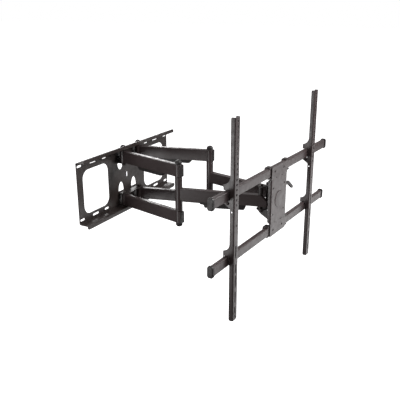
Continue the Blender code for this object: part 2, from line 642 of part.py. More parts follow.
def television_bracket(side_name, corner, parent):
    """The main channel, the extension below it, and the safety screw."""
    slide = empty(f"{side_name}_bracket_slide", (corner, -TILT_Y, -TILT_Z), parent=parent)
    small_holes = [circle(2.4, SCREW, 10), circle(2.4, (-34.0, 53.0), 8)]
    side = prism(bracket_side(), 0.0, BRACKET_SHEET, "X", small_holes)
    holes = [circle(3.3, (HOLE_LINE, 312.0 - 15.0 * i), 8) for i in range(17)]
    holes.append(circle(3.3, (HOLE_LINE, 10.0), 8))
    holes += upright_slots(((-71.0, 40.0),))
    front = channel_front(0.0, BRACKET_BOTTOM, BRACKET_TOP, holes)
    piece(f"{side_name}_tv_bracket", [side, *front], POWDER_COAT, slide)
    piece(f"{side_name}_bracket_extension", extension(), POWDER_COAT, slide)
    screw = [(0, -3.5), (4.4, -3.5), (4.4, -GAP), (2.0, -GAP), (2.0, 9.0), (0, 9.0)]
    piece(f"{side_name}_safety_screw", [turned(screw, "X", SCREW, 12)], BOLT_STEEL, slide)


def build():
    clear_scene()
    wall_plate()
    levels = (("upper", 1), ("lower", -1))
    sides = (("left", -1), ("right", 1))
    for level_name, level in levels:
        hinge_shelf(f"hinge_shelf_{level_name}", level)
        for side_name, side in sides:
            wall_pivot(side_name, side, level_name, level)
    for side_name, side in sides:
        double_arm(side_name, side)
    reach = 2 * ARM_LENGTH * math.cos(math.radians(ARM_ANGLE))
    kingpin_y = PIVOT_Y - reach - YOKE_DROP
    yoke_axis = empty("yoke_axis", (0.0, kingpin_y, 0.0))
    yoke(yoke_axis)
    kingpin(yoke_axis)
    for side_name, side in sides:
        yoke_pivot(side_name, side, yoke_axis)
    swivel_axis = empty("swivel_axis", (0.0, kingpin_y, 0.0), HEAD_TURN)
    swivel_bracket(swivel_axis)
    grip = CHEEK_X + SHEET + GAP
    cross_bolt("tilt_bolt", TILT_Z, -grip, grip, swivel_axis)
    cross_bolt("clamp_bolt", CLAMP_Z, -grip, 55.0, swivel_axis)
    clamp_lever(swivel_axis)
    tilt_axis = empty("tilt_axis", (0.0, TILT_Y, TILT_Z), parent=swivel_axis)
    centre_plate(tilt_axis)
    for side_name, side in sides:
        tilt_cheek(side_name, side, tilt_axis)
    for level_name, level in levels:
        rail(level_name, level, tilt_axis)
        for side_name in CLAMPS:
            rail_clamp(level_name, level, side_name, tilt_axis)
    for side_name, corner in BRACKETS.items():
        television_bracket(side_name, corner, tilt_axis)


build()
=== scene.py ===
"""The looks of the full motion television wall mount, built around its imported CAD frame.

Each piece is drawn in millimetres in a local frame whose place comes from the record's joints,
and then carried into the row frame: +X right along the wall, +Y into the wall, +Z up.
"""

import json
import math

import bmesh
import bpy
from mathutils import Matrix, Vector

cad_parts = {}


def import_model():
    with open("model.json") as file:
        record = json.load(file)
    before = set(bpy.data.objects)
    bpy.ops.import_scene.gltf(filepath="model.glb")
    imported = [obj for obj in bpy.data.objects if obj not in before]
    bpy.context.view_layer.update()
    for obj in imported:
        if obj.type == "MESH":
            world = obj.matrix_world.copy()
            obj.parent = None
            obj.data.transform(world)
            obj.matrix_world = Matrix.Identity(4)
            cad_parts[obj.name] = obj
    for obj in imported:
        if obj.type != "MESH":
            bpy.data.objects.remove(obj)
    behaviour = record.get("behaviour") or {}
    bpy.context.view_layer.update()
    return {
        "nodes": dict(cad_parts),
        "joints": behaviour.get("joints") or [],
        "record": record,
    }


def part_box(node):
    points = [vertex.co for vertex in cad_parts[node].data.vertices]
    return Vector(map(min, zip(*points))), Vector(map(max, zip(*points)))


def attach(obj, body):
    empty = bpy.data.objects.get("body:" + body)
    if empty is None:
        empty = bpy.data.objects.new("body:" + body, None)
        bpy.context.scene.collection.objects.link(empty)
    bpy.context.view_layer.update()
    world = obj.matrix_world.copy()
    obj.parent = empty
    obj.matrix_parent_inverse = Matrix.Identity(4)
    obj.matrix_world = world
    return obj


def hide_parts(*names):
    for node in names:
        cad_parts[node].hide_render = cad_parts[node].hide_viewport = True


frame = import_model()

MM = 0.001

# Tolerances, in millimetres and radians, for picking edges and for cleaning meshes
SAME = 0.01
WELD = 0.002
FLAT_ANGLE = 0.002
SMOOTH_UP_TO = math.radians(32)
BROKEN_FROM = math.radians(35)

# Wall plate
SHEET = 2.5
BEND = 3.5
INNER_BEND = 1.0
LIP_HEIGHT = 12.0
WINDOW = (113.0, 254.0, -82.0, 74.0)
WINDOW_RADIUS = 30.0
SLOT_ROW = 95.0
SLOTS = ((132.0, 24.0), (195.0, 34.0), (268.0, 24.0))
ARCH_X = 40.0
ARCH_HALF = 16.5
ARCH_BASE = 53.5
ARCH_RISES = ((-1, 34.0), (1, 25.5))
PLATE_CORNER = 9.0
INNER_SHELF = 59.6

# Arms
ARM_WIDTH = 20.0
ARM_WALL = 2.5
SHOULDER = 3.2
EYE_RADIUS = 12.5
REAR_ARM = (61.0, 103.0)
FRONT_ARM = 19.5
NOSE = 26.0
NOSE_DROP = 25.0
NOSE_CORNER = 4.5
BOLT_RADIUS = 5.0
BOLT_HOLE = 5.5
ELBOW_PIN = 6.0
ELBOW_HOLE = 6.4
GAP = 0.3

# Head, measured from the kingpin's axis
YOKE_DROP = 16.0
YOKE_TOP = 50.0
YOKE_BOTTOM = -31.0
YOKE_SHEET = 3.0
HUB_RADIUS = 10.0
KINGPIN_HOLE = 6.5
CROSS_HOLE = 4.4
TILT_Y = -16.0
TILT_Z = -21.0
CLAMP_Z = 26.0
GRIP_GROOVES = 12
CHEEK_X = 20.4
CHEEK_TOP = 41.0
CENTRE_LEFT = -56.0
CENTRE_RIGHT = 62.0
CENTRE_FRONT = -29.0
CENTRE_SIDE = -17.0
CENTRE_HOLES = ((3.8, 34.0, 100.0), (3.4, 42.0, 45.0), (2.2, 20.0, 77.0))

# Rails and television brackets, measured from the kingpin's axis
RAIL_Y = -18.0
RAIL_Z = 100.0
RAIL_HALF = 410.0
RAIL_TALL = 30.0
RAIL_DEEP = 15.0
RAIL_WALL = 1.8
CAP_END = RAIL_HALF + 9.5
CLAMPS = {"left": (-67.0, -46.0), "right": (60.0, 82.0)}
BRACKET_FRONT = -42.5
BRACKET_SHEET = 2.0
BRACKET_BEND = 3.2
BRACKET_WIDTH = 28.0
BRACKET_BACK = -28.5
BRACKET_RETURN = 13.0
BRACKET_TOP = 323.0
BRACKET_BOTTOM = -106.0
EXTENSION_TOP = -40.0
EXTENSION_BOTTOM = -293.0
HOLE_LINE = 14.0
HOLE_PITCH = 15.0
HOLE_COUNT = 17
SHARED_SLOTS = ((-71.0, 40.0),)
EXTENSION_SLOTS = ((-124.5, 29.0), (-166.0, 40.0), (-217.0, 37.0), (-260.0, 23.0))
SCREW = (-21.0, 78.0)

SIDES = (("left", -1), ("right", 1))
LEVELS = (("upper", 1), ("lower", -1))


# Flat outlines


def circle(radius, centre=(0.0, 0.0), count=32):
    turns = [2 * math.pi * (i + 0.5) / count for i in range(count)]
    return [(centre[0] + radius * math.cos(t), centre[1] + radius * math.sin(t)) for t in turns]


def arc(centre, radius, start, end, count):
    turns = [math.radians(start + (end - start) * i / count) for i in range(count + 1)]
    return [(centre[0] + radius * math.cos(t), centre[1] + radius * math.sin(t)) for t in turns]


def box(low_x, high_x, low_y, high_y):
    return [(low_x, low_y), (high_x, low_y), (high_x, high_y), (low_x, high_y)]


def filleted(points, radius, count=6):
    """The outline with each corner turned into an arc of the radius, or of its own if given a list."""
    radii = radius if isinstance(radius, (list, tuple)) else [radius] * len(points)
    outline = []
    for i, corner in enumerate(points):
        here = Vector(corner)
        if not radii[i]:
            outline.append(tuple(here))
            continue
        back = (Vector(points[i - 1]) - here).normalized()
        ahead = (Vector(points[(i + 1) % len(points)]) - here).normalized()
        half = back.angle(ahead) / 2
        centre = here + (back + ahead).normalized() * radii[i] / math.sin(half)
        first = (here + back * radii[i] / math.tan(half) - centre).normalized()
        last = (here + ahead * radii[i] / math.tan(half) - centre).normalized()
        for step in range(count + 1):
            outline.append(tuple(centre + first.slerp(last, step / count) * radii[i]))
    return outline


def slot(centre, length, width, upright=False, count=7):
    """A slot with round ends, along the first axis or upright along the second."""
    half = (length - width) / 2
    right = arc((half, 0.0), width / 2, -90, 90, count)
    left = arc((-half, 0.0), width / 2, 90, 270, count)
    points = right + left
    if upright:
        points = [(-v, u) for u, v in points]
    return [(centre[0] + u, centre[1] + v) for u, v in points]


def span(side, near, far):
    """The two ends of a range in order, mirrored where the side is -1."""
    return sorted((side * near, side * far))


# Solids


def swap_axes(shape, axis):
    """Stands a shape drawn in the XY plane in the YZ plane (axis X) or the XZ plane (axis Y)."""
    turns = {"X": ((0, 0, 1), (1, 0, 0), (0, 1, 0)), "Y": ((1, 0, 0), (0, 0, 1), (0, 1, 0))}
    if axis in turns:
        bmesh.ops.transform(shape, matrix=Matrix(turns[axis]).to_4x4(), verts=shape.verts)
    bmesh.ops.recalc_face_normals(shape, faces=shape.faces)


def prism(outline, low, high, axis="Z", holes=()):
    """A flat outline with holes, pushed from low to high along the axis.

    The outline lies in XY for axis Z, in YZ for axis X and in XZ for axis Y.
    """
    shape = bmesh.new()
    edges = []
    for loop in (outline, *holes):
        verts = [shape.verts.new((u, v, low)) for u, v in loop]
        edges += [shape.edges.new((verts[i - 1], verts[i])) for i in range(len(verts))]
    bmesh.ops.triangle_fill(shape, use_beauty=True, edges=edges, normal=(0.0, 0.0, 1.0))
    pushed = bmesh.ops.extrude_face_region(shape, geom=list(shape.faces))
    moved = [item for item in pushed["geom"] if isinstance(item, bmesh.types.BMVert)]
    bmesh.ops.translate(shape, verts=moved, vec=(0.0, 0.0, high - low))
    swap_axes(shape, axis)
    bmesh.ops.dissolve_limit(shape, angle_limit=FLAT_ANGLE, verts=shape.verts, edges=shape.edges)
    return shape


def turned(profile, axis="Z", place=(0.0, 0.0), count=32):
    """A turned piece from (radius, height) points that start and end on the axis."""
    shape = bmesh.new()
    rings = []
    for radius, height in profile:
        if radius == 0:
            rings.append([shape.verts.new((place[0], place[1], height))])
        else:
            rings.append([shape.verts.new((u, v, height)) for u, v in circle(radius, place, count)])
    for upper, lower in zip(rings, rings[1:]):
        for i in range(count):
            corners = [upper[i % len(upper)], upper[(i + 1) % len(upper)]]
            corners += [lower[(i + 1) % len(lower)], lower[i % len(lower)]]
            shape.faces.new(list(dict.fromkeys(corners)))
    swap_axes(shape, axis)
    return shape


def disc(radius, low, high, axis="Z", place=(0.0, 0.0), count=32):
    """A short round piece with softened rims."""
    soft = min(0.6, (high - low) / 3)
    profile = [(0, low), (radius - soft, low), (radius, low + soft)]
    profile += [(radius, high - soft), (radius - soft, high), (0, high)]
    return turned(profile, axis, place, count)


def hexagon(across, low, high, axis="Z", place=(0.0, 0.0)):
    """A hexagonal bolt head or nut, with its corners turned off at both ends."""
    corner = across / math.sqrt(3)
    outline = circle(corner, place, 6)
    body = prism(outline, low, high, axis)
    crown = disc(corner - 0.1, low, high, axis, place)
    return intersection(body, crown)


def rounded(shape, chosen, width, count=5):
    """Rounds the edges of a shape for which chosen(middle, direction) holds."""
    edges = []
    for edge in shape.edges:
        first, last = (v.co for v in edge.verts)
        if chosen((first + last) / 2, (last - first).normalized()):
            edges.append(edge)
    bmesh.ops.bevel(shape, geom=edges, offset=width, segments=count, profile=0.5, affect="EDGES",
                    clamp_overlap=True)
    return shape


def temporary(shape):
    mesh = bpy.data.meshes.new("temporary")
    shape.to_mesh(mesh)
    shape.free()
    made = bpy.data.objects.new("temporary", mesh)
    bpy.context.collection.objects.link(made)
    return made


def combine(base, other, operation):
    step = base.modifiers.new(operation, "BOOLEAN")
    step.operation = operation
    step.solver = "EXACT"
    step.object = other
    bpy.context.view_layer.update()
    graph = bpy.context.evaluated_depsgraph_get()
    result = bpy.data.meshes.new_from_object(base.evaluated_get(graph))
    base.modifiers.clear()
    base.data = result
    bpy.data.objects.remove(other, do_unlink=True)


def intersection(first, second):
    base = temporary(first)
    combine(base, temporary(second), "INTERSECT")
    shape = bmesh.new()
    shape.from_mesh(base.data)
    bpy.data.objects.remove(base, do_unlink=True)
    return shape


# Materials


def shader_nodes(name):
    made = bpy.data.materials.new(name)
    made.use_nodes = True
    nodes = made.node_tree.nodes
    place = nodes.new("ShaderNodeTexCoord")
    return made, nodes, made.node_tree.links, nodes["Principled BSDF"], place.outputs["Object"]


def noise(nodes, links, place, scale, detail, roughness=0.55):
    made = nodes.new("ShaderNodeTexNoise")
    made.inputs["Scale"].default_value = scale
    made.inputs["Detail"].default_value = detail
    made.inputs["Roughness"].default_value = roughness
    links.new(place, made.inputs["Vector"])
    return made.outputs["Fac"]


def ramp(nodes, links, value, stops):
    """A colour ramp through the (position, colour) stops."""
    made = nodes.new("ShaderNodeValToRGB")
    made.color_ramp.elements[0].position = stops[0][0]
    made.color_ramp.elements[0].color = stops[0][1]
    made.color_ramp.elements[1].position = stops[-1][0]
    made.color_ramp.elements[1].color = stops[-1][1]
    for position, color in stops[1:-1]:
        made.color_ramp.elements.new(position).color = color
    links.new(value, made.inputs["Fac"])
    return made.outputs["Color"]


def ranged(nodes, links, value, low, high):
    made = nodes.new("ShaderNodeMapRange")
    made.inputs["From Min"].default_value = 0.3
    made.inputs["From Max"].default_value = 0.7
    made.inputs["To Min"].default_value = low
    made.inputs["To Max"].default_value = high
    links.new(value, made.inputs["Value"])
    return made.outputs["Result"]


def bumped(nodes, links, heights):
    """Bump nodes in a row, one for each (height, strength, distance)."""
    normal = None
    for height, strength, distance in heights:
        made = nodes.new("ShaderNodeBump")
        made.inputs["Strength"].default_value = strength
        made.inputs["Distance"].default_value = distance
        links.new(height, made.inputs["Height"])
        if normal:
            links.new(normal, made.inputs["Normal"])
        normal = made.outputs["Normal"]
    return normal


def blended(nodes, links, first, second, mode, share):
    made = nodes.new("ShaderNodeMix")
    made.data_type = "RGBA"
    made.blend_type = mode
    made.inputs["Factor"].default_value = share
    links.new(first, made.inputs["A"])
    links.new(second, made.inputs["B"])
    return made.outputs["Result"]


def tone(red, green, blue, scale=1.0):
    return (red * scale, green * scale, blue * scale, 1.0)


def powder_coat(name, color, roughness):
    """Satin powder coat: an orange-peel surface, fine flecks, and a slow drift of tone and gloss."""
    made, nodes, links, shader, place = shader_nodes(name)
    drift = noise(nodes, links, place, 9.0, 4.0)
    fleck = noise(nodes, links, place, 1400.0, 3.0, 0.7)
    shades = ((0.30, tone(*color, 0.86)), (0.55, tone(*color)), (0.75, tone(*color, 1.14)))
    base = ramp(nodes, links, drift, shades)
    flecks = ((0.30, tone(0.80, 0.80, 0.80)), (0.52, tone(1.0, 1.0, 1.0)))
    flecks += ((0.72, tone(1.30, 1.28, 1.26)),)
    grain = ramp(nodes, links, fleck, flecks)
    links.new(blended(nodes, links, base, grain, "MULTIPLY", 0.8), shader.inputs["Base Color"])
    gloss = noise(nodes, links, place, 60.0, 5.0)
    rough = ranged(nodes, links, gloss, roughness - 0.06, roughness + 0.08)
    links.new(rough, shader.inputs["Roughness"])
    peel = noise(nodes, links, place, 650.0, 2.0, 0.4)
    heights = ((peel, 0.30, 0.0002), (fleck, 0.18, 0.0001))
    links.new(bumped(nodes, links, heights), shader.inputs["Normal"])
    shader.inputs["Specular IOR Level"].default_value = 0.55
    shader.inputs["Coat Weight"].default_value = 0.08
    shader.inputs["Coat Roughness"].default_value = 0.35
    return made


def moulded_plastic(name, color, roughness):
    """Black moulded plastic with a spark-eroded grain and slightly shinier patches."""
    made, nodes, links, shader, place = shader_nodes(name)
    drift = noise(nodes, links, place, 25.0, 3.0)
    base = ramp(nodes, links, drift, ((0.30, tone(*color, 0.85)), (0.70, tone(*color, 1.2))))
    cells = nodes.new("ShaderNodeTexVoronoi")
    cells.inputs["Scale"].default_value = 1500.0
    links.new(place, cells.inputs["Vector"])
    pits = ((0.0, tone(0.8, 0.8, 0.8)), (0.8, tone(1.15, 1.15, 1.15)))
    grain = ramp(nodes, links, cells.outputs["Distance"], pits)
    links.new(blended(nodes, links, base, grain, "MULTIPLY", 0.7), shader.inputs["Base Color"])
    gloss = noise(nodes, links, place, 90.0, 4.0)
    rough = ranged(nodes, links, gloss, roughness - 0.08, roughness + 0.08)
    links.new(rough, shader.inputs["Roughness"])
    heights = ((cells.outputs["Distance"], 0.22, 0.0002),)
    links.new(bumped(nodes, links, heights), shader.inputs["Normal"])
    shader.inputs["Specular IOR Level"].default_value = 0.45
    return made


def oxide_steel(name, color, roughness):
    """Black oxide steel: brownish patches, fine turning marks and uneven gloss."""
    made, nodes, links, shader, place = shader_nodes(name)
    patch = noise(nodes, links, place, 160.0, 5.0, 0.6)
    shades = ((0.28, tone(*color, 0.65)), (0.52, tone(*color)), (0.74, tone(*color, 1.7)))
    base = ramp(nodes, links, patch, shades)
    marks = nodes.new("ShaderNodeTexWave")
    marks.bands_direction = "Z"
    marks.inputs["Scale"].default_value = 700.0
    marks.inputs["Distortion"].default_value = 1.5
    links.new(place, marks.inputs["Vector"])
    links.new(base, shader.inputs["Base Color"])
    rough = ranged(nodes, links, patch, roughness - 0.10, roughness + 0.12)
    links.new(rough, shader.inputs["Roughness"])
    heights = ((patch, 0.15, 0.0002), (marks.outputs["Fac"], 0.06, 0.0001))
    links.new(bumped(nodes, links, heights), shader.inputs["Normal"])
    shader.inputs["Metallic"].default_value = 0.85
    return made


LOOKS = {
    "powder_coat": powder_coat("satin_powder_coat", (0.042, 0.030, 0.030), 0.38),
    # painted shade: a darker copy of the satin powder coat for the wall plate, which stands further from
    # the lamps and behind the head
    "shade_painted_plate_coat": powder_coat("shade_painted_plate_powder_coat", (0.030, 0.022, 0.020), 0.44),
    # painted shade: a darker copy of the satin powder coat for the parts that sit in shade inside the
    # head and behind the plate (hinge shelves, yoke, pivot sleeves, swivel bracket, tilt cheeks, rail
    # clamps)
    "dark_coat": powder_coat("shade_painted_inner_powder_coat", (0.022, 0.016, 0.016), 0.46),
    "black_plastic": moulded_plastic("moulded_plastic", (0.018, 0.015, 0.015), 0.46),
    "bolt_steel": oxide_steel("oxide_steel", (0.06, 0.052, 0.050), 0.38),
}


# Pieces

BODIES = frame["record"]["behaviour"]["bodies"]
BODY_OF = {node: body for body, nodes in BODIES.items() for node in nodes}


def piece(node, shapes, look, seat, cuts=(), bevel=0.3):
    """One shown piece: the shapes joined, less the cuts, with broken edges, in place of its CAD node."""
    base = temporary(shapes[0])
    for shape in shapes[1:]:
        combine(base, temporary(shape), "UNION")
    for shape in cuts:
        combine(base, temporary(shape), "DIFFERENCE")
    base.name = f"{node}_finished"
    base.data.name = base.name
    shape = bmesh.new()
    shape.from_mesh(base.data)
    bmesh.ops.remove_doubles(shape, verts=shape.verts, dist=WELD)
    bmesh.ops.dissolve_limit(shape, angle_limit=FLAT_ANGLE, verts=shape.verts, edges=shape.edges)
    shape.to_mesh(base.data)
    shape.free()
    base.data.transform(seat @ Matrix.Scale(MM, 4))
    base.data.materials.clear()
    base.data.materials.append(LOOKS[look])
    base.data.shade_smooth()
    base.data.set_sharp_from_angle(angle=SMOOTH_UP_TO)
    edge = base.modifiers.new("edge", "BEVEL")
    edge.width = bevel * MM
    edge.segments = 2
    edge.limit_method = "ANGLE"
    edge.angle_limit = BROKEN_FROM
    edge.use_clamp_overlap = False
    edge.harden_normals = True
    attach(base, BODY_OF[node])
    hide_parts(node)
    return base


def seat_at(origin, along=(1.0, 0.0, 0.0)):
    """The local frame at a point of the row frame, with its X axis along a level direction."""
    ahead = Vector(along).normalized()
    up = Vector((0.0, 0.0, 1.0))
    aside = up.cross(ahead)
    turn = Matrix((ahead, aside, up)).transposed().to_4x4()
    return Matrix.Translation(Vector(origin)) @ turn


def wall_plate(seat):
    low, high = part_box("wall_plate")
    half_width = (high.x - low.x) / 2 / MM
    depth = (high.y - low.y) / MM
    top = high.z / MM
    half = top - LIP_HEIGHT
    web = -SHEET
    lip = -depth + SHEET
    upper = [(0.0, half), (lip, half), (lip, top), (-depth, top)]
    upper += [(-depth, half - SHEET), (web, half - SHEET)]
    radii = [BEND, INNER_BEND, 0, 0, BEND, INNER_BEND]
    profile = upper + [(y, -z) for y, z in reversed(upper)]
    profile = filleted(profile, radii + radii[::-1])
    left, right, bottom, head = WINDOW
    openings = [slot((0.0, 0.5), 20.0, 8.0, upright=True)]
    turns = [math.pi * i / 24 for i in range(25)]
    for _, side in SIDES:
        window = filleted(box(left, right, bottom, head), WINDOW_RADIUS, 14)
        openings.append([(side * x, z) for x, z in window])
        for row in (-SLOT_ROW, SLOT_ROW):
            openings += [slot((side * x, row), length, 8.0) for x, length in SLOTS]
        for level, rise in ARCH_RISES:
            arch = [(ARCH_X + ARCH_HALF * math.cos(t), ARCH_BASE - rise * math.sin(t)) for t in turns]
            openings.append([(side * x, level * z) for x, z in arch])
    cuts = [prism(opening, web - 1, 1.0, "Y") for opening in openings]
    for _, side in SIDES:
        for _, level in LEVELS:
            hole = circle(BOLT_HOLE, (side * PIVOT_X, PIVOT_Y))
            cuts.append(prism(hole, *span(level, half - 4, half + 2)))
            middle = (half_width - PLATE_CORNER, top - PLATE_CORNER)
            corner = arc(middle, PLATE_CORNER, 0, 90, 8) + [(half_width + 1, top + 1)]
            corner = [(side * x, level * z) for x, z in corner]
            cuts.append(prism(corner, -depth - 1, lip + 1, "Y"))
            relief = [(side * x, y) for x, y in box(half_width - 2.0, half_width + 1.0, -7.0, -1.0)]
            cuts.append(prism(relief, *span(level, half - 5.0, half + 1.0)))
    piece("wall_plate", [prism(profile, -half_width, half_width, "X")], "shade_painted_plate_coat", seat, cuts, 0.25)


def hinge_shelf(level_name, level, seat):
    """The folded bracket inside the plate, with its bend and two spot-weld dimples in its foot."""
    profile = [(-37.0, INNER_SHELF - SHEET), (-2.8, INNER_SHELF - SHEET), (-2.8, 80.0), (-5.3, 80.0)]
    profile += [(-5.3, INNER_SHELF), (-37.0, INNER_SHELF)]
    profile = filleted(profile, [0, BEND, 0, 0, INNER_BEND, 0])
    profile = [(y, level * z) for y, z in profile]
    cuts = []
    for _, side in SIDES:
        cuts.append(prism(circle(BOLT_HOLE, (side * PIVOT_X, PIVOT_Y)), *span(level, 50.0, 62.0)))
        corner = [(side * 51.5, -38.0), (side * 61.0, -38.0), (side * 61.0, -26.0)]
        cuts.append(prism(corner, *span(level, 50.0, 62.0)))
        cuts.append(disc(2.6, -7.0, -4.9, "Y", (side * 30.0, level * 68.0), 20))
    piece(f"hinge_shelf_{level_name}", [prism(profile, -60.0, 60.0, "X")], "dark_coat", seat, cuts)


def wall_pivot(side_name, level_name, level, seat):
    """The pivot bolt with its hexagonal nut and head and two washers, and the cap over its head."""
    low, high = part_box(f"wall_pivot_bolt_{level_name}_{side_name}")
    tip = (high.z if level > 0 else -low.z) / MM
    top = tip - 5.0
    nut = INNER_SHELF - SHEET - GAP
    washer = top - 2 * GAP - SHEET
    shapes = [disc(BOLT_RADIUS, *span(level, nut - 8, top + 2))]
    shapes += [hexagon(14.5, *span(level, near, far)) for near, far in ((nut - 7.0, nut), (top, tip))]
    shapes.append(disc(9.0, *span(level, INNER_SHELF + GAP, REAR_ARM[0] - GAP)))
    shapes.append(disc(9.0, *span(level, REAR_ARM[1] + GAP, washer)))
    piece(f"wall_pivot_bolt_{level_name}_{side_name}", shapes, "bolt_steel", seat)
    dome = [(0, top + 14.7)] + [(r, top + 4.7 + h) for r, h in arc((0.0, 0.0), 10.0, 84, 0, 9)]
    dome += [(10, top + 1.2), (9.6, top + 1.0), (9.6, top), (8.6, top), (8.6, top + 7), (0, top + 7)]
    cap = turned([(r, level * z) for r, z in dome], count=40)
    piece(f"wall_pivot_cap_{level_name}_{side_name}", [cap], "black_plastic", seat, bevel=0.15)


def rear_arm(name, low, high, seat):
    """A folded channel, open below, with rounded shoulders and a round eye on each pivot."""
    half = ARM_WIDTH / 2
    end = ARM_LENGTH + EYE_RADIUS + 0.5
    beam = prism(box(0.0, end, -half, half), low, high)
    rounded(beam, lambda m, d: abs(m.z - high) < SAME and abs(d.x) > 0.9, SHOULDER)
    eyes = [disc(EYE_RADIUS, low, high, place=(x, 0.0), count=40) for x in (0.0, ARM_LENGTH)]
    hollow = half - ARM_WALL
    pocket = prism(box(20.0, ARM_LENGTH - 20.0, -hollow, hollow), low - 1.0, high - ARM_WALL)
    rounded(pocket, lambda m, d: abs(m.z - high + ARM_WALL) < SAME and abs(d.x) > 0.9, 1.2, 3)
    cuts = [prism(circle(BOLT_HOLE), low - 1, high + 1)]
    cuts.append(prism(circle(ELBOW_HOLE, (ARM_LENGTH, 0.0)), low - 1, high + 1))
    cuts.append(pocket)
    piece(name, [beam, *eyes], "powder_coat", seat, cuts)
    outline = filleted(box(-half, half, low + 0.5, high - 0.5), [1, 1, SHOULDER, SHOULDER])
    face = end + 2.2
    plug = prism(outline, end + GAP, face, "X")
    rounded(plug, lambda m, d: abs(m.x - face) < SAME and abs(d.x) < 0.1, 0.7, 3)
    piece(name.replace("_arm", "_end_cap"), [plug], "black_plastic", seat, bevel=0.1)


def elbow_pin(side_name, seat):
    """The pin through both rear arms and the front arm's sleeve, with a domed cap on each end."""
    top = REAR_ARM[1] + GAP
    shapes = [disc(ELBOW_PIN, -top - 1, top + 1)]
    for _, level in LEVELS:
        shapes.append(disc(8.5, *span(level, top, top + 1.4), count=40))
        shapes.append(hexagon(14.0, *span(level, top + 1.2, top + 5)))
    piece(f"{side_name}_elbow_pin", shapes, "bolt_steel", seat)
    dome = [(0, 14.7), (2.5, 14.6), (5.0, 14.1), (7.2, 13.1), (9.0, 11.8), (10.3, 10.2), (11.1, 8.6)]
    dome += [(11.5, 7.0), (11.5, 1.6), (11.2, 1.4), (11.2, 0.9), (11.5, 0.7), (11.5, 0), (9.4, 0)]
    dome += [(9.4, 7), (0, 7)]
    for level_name, level in LEVELS:
        cap = turned([(r, level * (top + z)) for r, z in dome], count=44)
        piece(f"{side_name}_elbow_cap_{level_name}", [cap], "black_plastic", seat, bevel=0.1)


def front_arm(side_name, seat):
    """A sleeve on the elbow pin, the channel with rounded shoulders, and a nose that slopes down."""
    half = ARM_WIDTH / 2
    tip = ARM_LENGTH + NOSE
    reach = REAR_ARM[0] - 0.5
    outline = [(0.0, -FRONT_ARM), (0.0, FRONT_ARM), (tip - NOSE_DROP, FRONT_ARM)]
    outline += [(tip, FRONT_ARM - NOSE_DROP), (tip, -FRONT_ARM)]
    beam = prism(filleted(outline, [0, 0, 5, 3, 0], 6), -half, half, "Y")
    edge_low = 0.5 - FRONT_ARM
    rounded(beam, lambda m, d: abs(abs(m.y) - half) < SAME and abs(d.z) < 0.99 and m.z > edge_low, 2.2)
    neck = EYE_RADIUS - 0.5
    rim = [(0, -reach), (EYE_RADIUS - 0.8, -reach), (EYE_RADIUS, -reach + 0.8)]
    rim += [(EYE_RADIUS, -reach + 5), (neck, -reach + 5.5), (neck, -reach + 6.2)]
    rim.append((EYE_RADIUS, -reach + 6.7))
    sleeve = turned(rim + [(r, -z) for r, z in reversed(rim)], count=48)
    hollow = half - ARM_WALL
    ceiling = FRONT_ARM - ARM_WALL
    pocket = prism(box(20.0, ARM_LENGTH - 16.0, -hollow, hollow), -FRONT_ARM - 1, ceiling)
    rounded(pocket, lambda m, d: m.z > ceiling - SAME and abs(d.x) > 0.9, 1.2, 3)
    cuts = [prism(circle(ELBOW_HOLE), -REAR_ARM[0], REAR_ARM[0]), pocket]
    cuts.append(prism(circle(BOLT_HOLE, (ARM_LENGTH, 0.0)), -FRONT_ARM - 1, FRONT_ARM + 1))
    outside = NOSE_CORNER + 1.0
    for aside in (-1, 1):
        corner = [(tip + 1.0, aside * (half - outside)), (tip + 1.0, aside * (half + 1.0))]
        corner.append((tip - outside, aside * (half + 1.0)))
        cuts.append(prism(corner, -FRONT_ARM - 1, FRONT_ARM + 1))
    piece(f"{side_name}_front_arm", [sleeve, beam], "powder_coat", seat, cuts)
    top = -FRONT_ARM - GAP
    outline = [(70.0, top), (77.0, -29.0), (88.0, -30.0), (92.0, -40.0), (226.0, -36.5), (232.0, top)]
    outline = filleted(outline, [0, 2, 2, 3, 5, 0])
    inside = [(95.0, top + 1.0), (97.0, -37.6), (221.0, -34.4), (223.0, top + 1.0)]
    slits = [(130.0, -39.0), (162.0, -38.2), (194.0, -37.4)]
    cable_clip(f"{side_name}_front_cable_clip", outline, inside, slits, top, seat)


def cable_clip(name, outline, inside, slits, top, seat):
    """A thin plastic trough snapped under an arm, with a row of slits along the middle of its floor."""
    half = 9.0
    trough = prism(outline, -half, half, "Y")
    rounded(trough, lambda m, d: abs(abs(m.y) - half) < SAME and m.z < top - 0.5, 1.6, 4)
    hollow = prism(filleted(inside, [0, 2, 2, 0]), -7.2, 7.2, "Y")
    cuts = [prism(slot((x, 0.0), 10.0, 3.0), z - 6.0, z + 8.0) for x, z in slits]
    piece(name, [trough], "black_plastic", seat, [hollow, *cuts], 0.2)


def rear_cable_clip(side_name, seat):
    top = REAR_ARM[0] - GAP
    outline = [(82.0, top), (92.0, 51.0), (100.0, 49.0), (196.0, 48.5), (203.0, 50.0), (212.0, top)]
    outline = filleted(outline, [0, 2, 2, 2, 2, 0])
    inside = [(94.0, top + 1.0), (99.0, 51.6), (199.0, 51.0), (206.0, top + 1.0)]
    slits = [(124.0, 49.5), (150.0, 49.5), (176.0, 49.5)]
    cable_clip(f"{side_name}_rear_cable_clip", outline, inside, slits, top, seat)


# The head


def yoke_outline():
    """The lower shelf, a full plate with its corners cut off."""
    half = PIVOT_X + 11.0
    points = [(-34.0, -12.0), (34.0, -12.0), (half, 6.0), (half, 24.0), (46.0, 30.0), (-46.0, 30.0)]
    points += [(-half, 24.0), (-half, 6.0)]
    return filleted(points, 4.0, 6)


